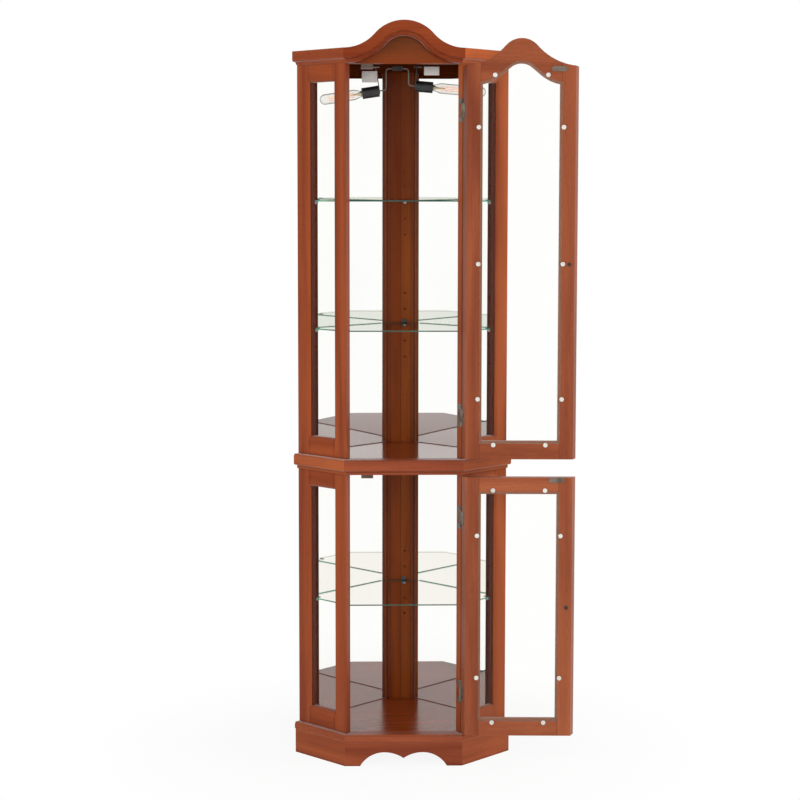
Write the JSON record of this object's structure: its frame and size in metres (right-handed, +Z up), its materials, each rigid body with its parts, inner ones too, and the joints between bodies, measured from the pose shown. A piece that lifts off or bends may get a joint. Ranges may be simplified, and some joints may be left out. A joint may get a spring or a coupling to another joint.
{
  "type": "corner curio cabinet",
  "caption": "Tall corner display cabinet with an arched crown, upper and lower glazed doors, angled glazed sides, mirrored back, glass shelves and ceiling lamps.",
  "frame": {"origin": "on the floor, at the middle of the corner post's foot", "axes": "+X to the right seen from the front, +Y from the front towards the room's corner, +Z up; the doors stand open 178 degrees at rest"},
  "size_m": [0.6825, 0.4145, 1.8],
  "materials": {
    "cherry": "gloss lacquer over reddish-brown stain",
    "dark_cherry": "gloss lacquer over darker stain",
    "back_board": "plain hardboard",
    "clear_glass": "clear",
    "shelf_glass": "clear with green edges",
    "mirror_glass": "silvered",
    "nylon": "white moulded",
    "bronze": "antique bronze",
    "steel": "nickel",
    "catch_plastic": "pale brown moulded",
    "black_fitting": "black",
    "bulb_glass": "clear bulb with brass cap",
    "lead_rubber": "grey sheath"
  },
  "bodies": {
    "carcass": {"back_panel_left": "back_board", "back_panel_right": "back_board", "base_inner_frame": "cherry", "base_moulding_front": "cherry", "base_moulding_sides": "cherry", "ceiling_rose": "black_fitting", "corner_post_left": "dark_cherry", "corner_post_right": "dark_cherry", "crown_front": "cherry", "crown_sides": "cherry", "floor_deck": "cherry", "header_panel": "cherry", "hinge_frame_leaves": "bronze", "lamp_brackets": "black_fitting", "lamp_bulbs": "bulb_glass", "lamp_leads": "lead_rubber", "lamp_sockets": "black_fitting", "lower_left_wing_glass": "clear_glass", "lower_left_wing_rails": "cherry", "lower_left_wing_stiles": "cherry", "lower_mirror_left": "mirror_glass", "lower_mirror_right": "mirror_glass", "lower_right_wing_glass": "clear_glass", "lower_right_wing_rails": "cherry", "lower_right_wing_stiles": "cherry", "lower_shelf": "shelf_glass", "magnetic_catches": "catch_plastic", "mid_deck": "cherry", "mid_moulding_front": "cherry", "mid_moulding_sides": "cherry", "middle_shelf": "shelf_glass", "roof_panel": "cherry", "shelf_battens_left": "dark_cherry", "shelf_battens_right": "dark_cherry", "shelf_pins": "steel", "skirt_front": "cherry", "skirt_sides": "cherry", "top_shelf": "shelf_glass", "upper_left_wing_glass": "clear_glass", "upper_left_wing_rails": "cherry", "upper_left_wing_stiles": "cherry", "upper_mirror_left": "mirror_glass", "upper_mirror_right": "mirror_glass", "upper_right_wing_glass": "clear_glass", "upper_right_wing_rails": "cherry", "upper_right_wing_stiles": "cherry"},
    "upper_door": {"upper_door_clips": "nylon", "upper_door_glass": "clear_glass", "upper_door_hinge_leaves": "bronze", "upper_door_knob": "bronze", "upper_door_rails": "cherry", "upper_door_stiles": "cherry", "upper_door_strike": "bronze"},
    "lower_door": {"lower_door_clips": "nylon", "lower_door_glass": "clear_glass", "lower_door_hinge_leaves": "bronze", "lower_door_knob": "bronze", "lower_door_rails": "cherry", "lower_door_stiles": "cherry", "lower_door_strike": "bronze"}
  },
  "joints": [
    {"name": "upper_door_hinge", "type": "hinge", "parent": "carcass", "child": "upper_door", "pos_m": [0.13865, -0.35202, 1.2245], "axis": [0, 0, 1], "range_deg": [-178, 20]},
    {"name": "lower_door_hinge", "type": "hinge", "parent": "carcass", "child": "lower_door", "pos_m": [0.13865, -0.35202, 0.396], "axis": [0, 0, 1], "range_deg": [-178, 38]}
  ]
}
